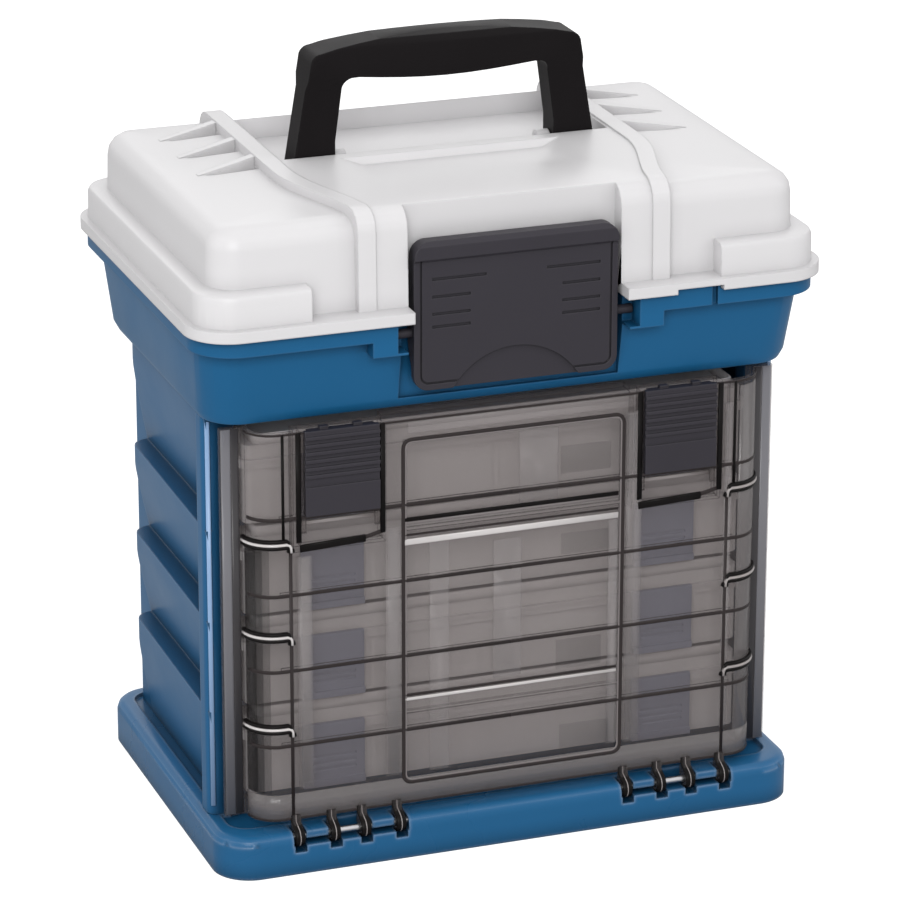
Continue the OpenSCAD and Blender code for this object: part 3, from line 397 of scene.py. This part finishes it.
def box_rims():
    """Raised stacking rim on the lid of each utility box. Its profile is inset and height over the lid."""
    for number in range(1, BOXES + 1):
        (_, front, _), (half, back, top) = box_mm(f"box_{number}_lid")
        mesh = bmesh.new()
        rings = []
        for inset, over in RIM_PROFILE:
            outline = rounded(half - RIM_IN_X - inset, front + RIM_IN_Y + inset, back - RIM_IN_Y - inset,
                              RIM_CORNER - inset)
            rings.append([mesh.verts.new(mm(x, y, top + over)) for x, y in outline])
        skin(mesh, rings, closed=True)
        piece(f"box_{number}_stacking_rim", mesh, CLEAR, f"box_{number}")


# ------------------------------------------------------------------ the door's edges, ribs and streaks

DOOR_HALF, DOOR_BACK, HEAD = box_mm("door_panel")[1]     # HEAD is the upper edge of the door
PLINTH_TOP = box_mm("base_plinth")[1][2]
FOOT = PLINTH_TOP + 3.0                      # lower edge of the door
FACE = DOOR_BACK - 16.2                      # front of the tray, which is 16.2 mm deep
FLANGE_FACE = DOOR_BACK - 2.4                # front of the side flanges, which are 2.4 mm thick
SIDE = DOOR_HALF - 9.3                       # half width of the tray, between flanges of 9.3 mm
ROUND = 13.0                                 # radius of the tray's upright corners
FACE_END = SIDE - ROUND                      # x at which the flat face ends and a corner begins

SHELVES = (65.0, 107.1, 149.0)               # heights of the beads round the corners
RIBS = [56.8 + 34.4 * k for k in range(4)]   # heights of the thin ribs across the inside

WINDOW_HALF, WINDOW_FOOT, WINDOW_HEAD = 49.2, 32.0, 189.0
WINDOW_SHIFT = 1.6                           # how much further out the window's right edge lies
THICK_HEAD = FOOT + 12.4                     # upper edge of the thick plastic along the foot

LATCH_MIDDLE = sum(end[0] for end in box_mm("door_latch_right")) / 2
POCKET_HALF, POCKET_DEPTH = 18.6, 6.0        # a latch pocket's half width, and its floor behind the face
POCKET_SLOT_Z = 146.2                        # the dark slot below a pocket

PIN_Y, PIN_Z = [sum(end[axis] for end in box_mm("door_hinge_pins")) / 2 for axis in (1, 2)]
HINGE_MIDDLE = 75.4                          # middle of each hinge's four fingers
FINGERS = (-22.9, -6.9, 6.9, 22.9)           # their places about that middle
KNUCKLE = 4.0                                # radius of a finger round the pin

# soft-edged strips laid on the face: x, foot, head, width and number of layers
PALE_STREAKS = ((46.6, 37, 141, 3.6, 2), (55.9, 37, 189, 5.8, 2), (-53.4, 37, 150, 6.0, 3),
                (-93.2, 37, 142, 5.2, 3), (99.8, 37, 188, 2.8, 2), (-33.0, 37, 141, 7.0, 1),
                (-2.0, 76, 138, 11.0, 1), (12.0, 155, 186, 16.0, 1))
SQUARE_PATCHES = ((33.5, 166, 177, 21.0, 1), (33.5, 129, 137, 20.0, 1), (31.0, 76, 88, 19.0, 1),
                  (34.0, 38, 48, 21.0, 1))

# the door's fine forms are one piece for each look, named door_ and the look
DOOR_LOOKS = {"dark_edges": DARK_LINE, "ribs": RIB_LINE, "pale_highlights": PALE_HIGHLIGHT, "mid_edges": MID_LINE,
              "flange_skins": HAZE, "thick_rims": THICK, "pale_veils": PALE_VEIL, "dark_veils": DARK_VEIL,
              "square_veils": SQUARE_VEIL, "flange_gloom": GLOOM, "dim_edges": DIM_LINE}
door = {look: bmesh.new() for look in DOOR_LOOKS}


def corner(side, z, start, end):
    """Points and outward directions round a corner of the tray on the side -1 or 1.
    The angles run from 0, which is the side, to 90, which is the front."""
    steps = 8
    points, ups = [], []
    for k in range(steps + 1):
        a = math.radians(start + (end - start) * k / steps)
        up = Vector((side * math.cos(a), -math.sin(a), 0))
        points.append(mm(side * FACE_END, FACE + ROUND, z) + up * (ROUND / 1000))
        ups.append(up)
    return points, ups


def around(z, start):
    """Points and outward directions along the whole front, from one corner's angle to the other's."""
    left, left_ups = corner(-1, z, start, 90)
    right, right_ups = corner(1, z, 90, start)
    return left + right, left_ups + right_ups


def line(mesh, start, end, width, rise=0.3, y=FACE):
    """A straight rib from one point (x, z) to another in the plane y, standing out to the front."""
    strip(mesh, [mm(start[0], y, start[1]), mm(end[0], y, end[1])], [OUT] * 2, width, rise)


def streak(mesh, x, foot, head, width, layers):
    """A soft-edged lighter or darker streak in the face: each layer is narrower and higher than the last."""
    spread, widest, layer_rise = 0.32, 6.0, 0.04
    for k in range(layers):
        grow = spread * (1 - k) * min(width, widest)
        over = grow * 0.4
        strip(mesh, [mm(x, FACE, foot - over), mm(x, FACE, head + over)], [OUT] * 2, width + grow,
              layer_rise * (k + 1), sink=0.1)


def window_frame():
    """Frame of the window, dark with a paler bead inside."""
    for look, inset, radius, width, rise in (("ribs", 0.0, 3.6, 1.6, 0.4), ("dim_edges", 1.1, 2.8, 0.8, 0.2)):
        outline = rounded(WINDOW_HALF - inset, WINDOW_FOOT + inset, WINDOW_HEAD - inset, radius)
        points = [mm(x + (WINDOW_SHIFT if x > 0 else 0.0), FACE, z) for x, z in outline]
        strip(door[look], points, [OUT] * len(points), width, rise, closed=True)


def window_steps():
    """Steps across the window, a few of them a little higher on the right; the pale lines are painted
    highlights along the steps.
    """
    half = WINDOW_HALF - 0.6
    for look, left_z, right_z, width, rise in (
            ("dark_edges", 153.2, 153.2, 1.8, 0.3), ("dim_edges", 151.6, 151.6, 1.2, 0.2),
            ("ribs", 146.2, 146.2, 1.0, 0.2), ("pale_highlights", 143.0, 143.2, 2.8, 0.3),
            ("ribs", 72.8, 72.8, 1.2, 0.2), ("pale_highlights", 70.9, 71.0, 1.4, 0.2)):
        line(door[look], (-half, left_z), (half, right_z), width, rise)


def thick_plastic():
    """Thicker plastic along the foot and round the right corner."""
    points, ups = around(0, 5)
    band(door["thick_rims"], points, ups, FOOT + 1.2, THICK_HEAD)
    points, ups = corner(1, 0, 12, 84)
    band(door["thick_rims"], points, ups, THICK_HEAD, HEAD - 3)


def streaks():
    """Streaks along the head and down the face, and darker squares over the boxes behind it."""
    line(door["pale_veils"], (-47.0, HEAD - 4), (56.0, HEAD - 4), 5.4, 0.1)
    for row in PALE_STREAKS:
        streak(door["pale_veils"], *row)
    for row in SQUARE_PATCHES:
        streak(door["square_veils"], *row)


def left_corner_shade():
    """Nested veils that darken the left corner towards the side, up to the angles given here."""
    angles = (66, 52, 38)
    for angle in angles:
        points, ups = corner(-1, 0, 8, angle)
        band(door["dark_veils"], points, ups, FOOT + 13, 150.0 - angle * 0.05,
             0.04 + 0.001 * (angles[0] - angle))


def thin_ribs(side):
    """Thin ribs of the inside, from the middle of the face into a corner."""
    for z in RIBS:
        points, ups = corner(side, z, 18, 90)
        strip(door["ribs"], points + [mm(0, FACE, z)], ups + [OUT], 1.6, 0.22)


def upright_lines(side):
    """Upright lines where the face ends, one below the latch pocket and one beside it."""
    x = side * (FACE_END - 3.9)
    line(door["ribs"], (x, FOOT + 1), (x, 145.5), 1.5)
    x = side * (FACE_END - 0.8)
    line(door["dark_edges"], (x, 151.0), (x, HEAD - 0.5), 1.3)


def shelf_beads(side):
    """Ribs at shelf height: a painted highlight along a bead between dark edges, hooked down at its end."""
    bright = "pale_highlights" if side < 0 else "mid_edges"
    for z in SHELVES:
        for look, up_by, width, rise in (("dark_edges", 1.5, 1.7, 1.3), (bright, 0.1, 1.4, 1.6),
                                         ("dark_edges", -1.4, 1.8, 1.3)):
            points, ups = corner(side, z + up_by, 4, 90)
            hook = ((-2.0, up_by), (-3.3 + 0.3 * up_by, up_by - 0.5),
                    (-3.9 + 0.5 * up_by, 0.6 * up_by - 1.7), (-4.0 + 0.6 * up_by, -3.6))
            points += [mm(side * (FACE_END + x), FACE, z + over) for x, over in hook]
            strip(door[look], points, ups + [OUT] * len(hook), width, rise)


def latch_pocket(side):
    """Pocket of a door latch: painted shade down its sides, where the plate's gap lies, a pale step on its
    floor and a dark slot below it.
    """
    left, right = side * LATCH_MIDDLE - POCKET_HALF, side * LATCH_MIDDLE + POCKET_HALF
    for edge in (left, right):
        x = edge + side * 0.4
        line(door["dark_edges"], (x, 149.0), (x, HEAD - 0.5), 2.4, 0.4)
    line(door["mid_edges"], (left + 1.5, 155.2), (right - 1.5, 155.2), 1.6, 0.2, y=FACE + POCKET_DEPTH)
    line(door["dark_edges"], (left, POCKET_SLOT_Z), (left + 29.0, POCKET_SLOT_Z + 1.2), 3.4, 0.4)
    line(door["ribs"], (left + 28.0, POCKET_SLOT_Z + 1.4), (right, POCKET_SLOT_Z + 3.6), 1.8, 0.2)


def flange(side):
    """Front of a side flange: a pale skin, and a dark strip of painted shade between it and the tray."""
    for look, from_side, width in (("flange_skins", 6.7, 4.4), ("flange_gloom", 2.8, 3.6)):
        x = side * (SIDE + from_side)
        line(door[look], (x, FOOT + 0.6), (x, HEAD - 0.6), width, 0.15, y=FLANGE_FACE)


def hinge_fingers(side):
    """Dark outline of each hinge finger, with a painted highlight down its middle, down the face and round
    the pin.
    """
    for offset in FINGERS:
        x = side * HINGE_MIDDLE + offset
        for look, width, rise in (("dark_edges", 4.4, 0.3), ("mid_edges", 0.5, 0.4)):
            points, ups = [mm(x, FACE, FOOT + 2.6), mm(x, FACE - 0.4, FOOT - 0.5)], [OUT, OUT]
            for degrees in range(35, 196, 20):
                a = math.radians(degrees)
                up = Vector((0, -math.sin(a), math.cos(a)))
                points.append(mm(x, PIN_Y, PIN_Z) + up * (KNUCKLE / 1000))
                ups.append(up)
            strip(door[look], points, ups, width, rise)


def door_rims():
    """Fine rims along the foot and the head of the door."""
    for z in (FOOT + 0.9, HEAD - 0.8):
        points, ups = around(z, 10)
        strip(door["ribs"], points, ups, 1.0, 0.2)


def door_forms():
    window_frame()
    window_steps()
    thick_plastic()
    streaks()
    left_corner_shade()
    for side in (-1, 1):
        thin_ribs(side)
        upright_lines(side)
        shelf_beads(side)
        latch_pocket(side)
        flange(side)
        hinge_fingers(side)
    door_rims()
    for look, mat in DOOR_LOOKS.items():
        piece(f"door_{look}", door[look], mat, "door")


# ------------------------------------------------------------------ front latch and posts

LATCH_FACE = box_mm("front_latch")[0][1] + 3.1       # front of the latch's plate
LATCH_BAND = LATCH_FACE - 1.6                        # front of the band along its upper edge

POST_X = box_mm("side_wall_right")[1][0] - 2.0       # the round outer edge of a front post
POST_Y = box_mm("side_wall_right")[0][1] + 0.3
POST_FOOT = PLINTH_TOP + 4.5
POST_HEAD = box_mm("side_wall_right")[1][2] - 1.6
POST_ANGLE = 68                                      # where the edge shines, 0 is the side and 90 the front


def front_latch_shade_lines():
    """Rounded near-black strips of painted shade along the sides and the upper edge of the front latch's
    plate, with fine painted highlights inside them.
    Each line is given by its two ends, its width and its rise."""
    black, fine = bmesh.new(), bmesh.new()
    line(black, (-42.5, 217.0), (-42.5, 266.4), 5.0, 0.3, y=LATCH_FACE)
    line(black, (43.9, 217.0), (43.9, 266.4), 2.6, 0.3, y=LATCH_FACE)
    line(black, (-39.0, 273.0), (39.5, 273.0), 2.0, 0.3, y=LATCH_BAND)
    line(black, (-41.5, 269.3), (43.0, 269.3), 0.7, 0.2, y=LATCH_BAND)
    line(fine, (-39.4, 218.0), (-39.4, 266.0), 0.5, 0.2, y=LATCH_FACE)
    line(fine, (-41.0, 270.2), (42.5, 270.2), 0.6, 0.2, y=LATCH_BAND)
    piece("front_latch_shade_lines", black, LATCH_SHADE_BLACK, "front_latch")
    piece("front_latch_highlight_lines", fine, HAZE, "front_latch")


def post_highlights():
    """Painted highlight: a pale, shiny line down the rounded outer edge of each front post, where the light
    shines on it.
    """
    mesh = bmesh.new()
    a = math.radians(POST_ANGLE)
    for side in (-1, 1):
        up = Vector((side * math.cos(a), -math.sin(a), 0))
        points = [mm(side * POST_X, POST_Y, z) for z in (POST_FOOT, POST_HEAD)]
        strip(mesh, points, [up] * 2, 2.1, 0.4, sink=0.8)
    piece("post_highlights", mesh, POST_HIGHLIGHT_BLUE, "cabinet")


dress_nodes()
box_rims()
door_forms()
front_latch_shade_lines()
post_highlights()


# ------------------------------------------------------------------ floor, light and camera

STUDIO_LIGHT = 0.62                      # strength of the white world's light on the part
FLOOR_RADIUS, FLOOR_SIDES = 9.0, 64      # m
FLOOR_GLOW = 0.75                        # added for the camera alone, so that the floor looks white

# the camera, fitted to the photograph: focal length and width of the picture in pixels, sensor in mm
FOCAL_PX, PICTURE_PX, SENSOR = 4509.3, 900, 36
CAMERA_AT = (-0.6373, -1.7659, 0.8321)
CAMERA_TURN = (70.0, -0.09, -19.91)

# name, place, the point of the middle axis that it is aimed at, size in m and power in W
LAMPS = (("key", (-0.7, -1.9, 1.15), 0.16, (1.2, 1.0), 25),
         ("top", (0.35, 0.2, 1.9), 0.2, (1.0, 1.0), 2.5),
         ("right", (1.7, -0.6, 1.1), 0.15, (1.0, 1.4), 6),
         ("left", (-1.7, -0.2, 0.9), 0.15, (1.0, 1.4), 5),
         ("back", (0.3, 1.5, 1.3), 0.2, (1.4, 0.8), 5))


def white_world():
    """A white world that is seen as pure white, and lights the part less than that."""
    world = bpy.data.worlds.new("studio")
    bpy.context.scene.world = world
    g = Graph(world)
    path = g.add("ShaderNodeLightPath").outputs
    seen = g.larger(g.larger(path["Is Camera Ray"], path["Is Glossy Ray"]), path["Is Transmission Ray"])
    light, white = [g.add("ShaderNodeBackground", {"Color": (1, 1, 1, 1), "Strength": strength}).outputs[0]
                    for strength in (STUDIO_LIGHT, 1.0)]
    g.finish(g.either(seen, light, white), "ShaderNodeOutputWorld")


def floor():
    """A large pale disc, which the camera sees brighter than it is lit."""
    g = material("floor_pale")
    tone = g.blend(g.noise(g.place(), scale=3.0), rgba((0.50,) * 3), rgba((0.52,) * 3))
    matt = g.add("ShaderNodeBsdfDiffuse", {"Color": tone}).outputs[0]
    dark, glow = [g.add("ShaderNodeEmission", {"Color": (1, 1, 1, 1), "Strength": strength}).outputs[0]
                  for strength in (0.0, FLOOR_GLOW)]
    seen = g.either(g.add("ShaderNodeLightPath").outputs["Is Camera Ray"], dark, glow)
    look = g.finish(g.add("ShaderNodeAddShader", {0: matt, 1: seen}).outputs[0])
    turns = [2 * math.pi * k / FLOOR_SIDES for k in range(FLOOR_SIDES)]
    data = bpy.data.meshes.new("floor")
    data.from_pydata([(FLOOR_RADIUS * math.cos(a), FLOOR_RADIUS * math.sin(a), 0) for a in turns], [],
                     [tuple(range(FLOOR_SIDES))])
    o = bpy.data.objects.new("floor", data)
    bpy.context.collection.objects.link(o)
    o.data.materials.append(look)


def lamp(name, where, aim_z, size, power):
    """A rectangular lamp that points at the middle axis."""
    light = bpy.data.lights.new(name, "AREA")
    light.shape = "RECTANGLE"
    light.size, light.size_y = size
    light.energy = power
    o = bpy.data.objects.new(name, light)
    bpy.context.collection.objects.link(o)
    o.location = where
    o.rotation_mode = "QUATERNION"
    o.rotation_quaternion = (Vector((0, 0, aim_z)) - Vector(where)).to_track_quat("-Z", "Y")


def camera():
    data = bpy.data.cameras.new("camera")
    data.lens = FOCAL_PX * SENSOR / PICTURE_PX
    data.sensor_width = SENSOR
    data.clip_start, data.clip_end = 0.05, 50
    o = bpy.data.objects.new("camera", data)
    bpy.context.collection.objects.link(o)
    o.location = CAMERA_AT
    o.rotation_euler = [math.radians(a) for a in CAMERA_TURN]
    bpy.context.scene.camera = o


white_world()
floor()
for row in LAMPS:
    lamp(*row)
camera()
bpy.context.scene.view_settings.view_transform = "Standard"
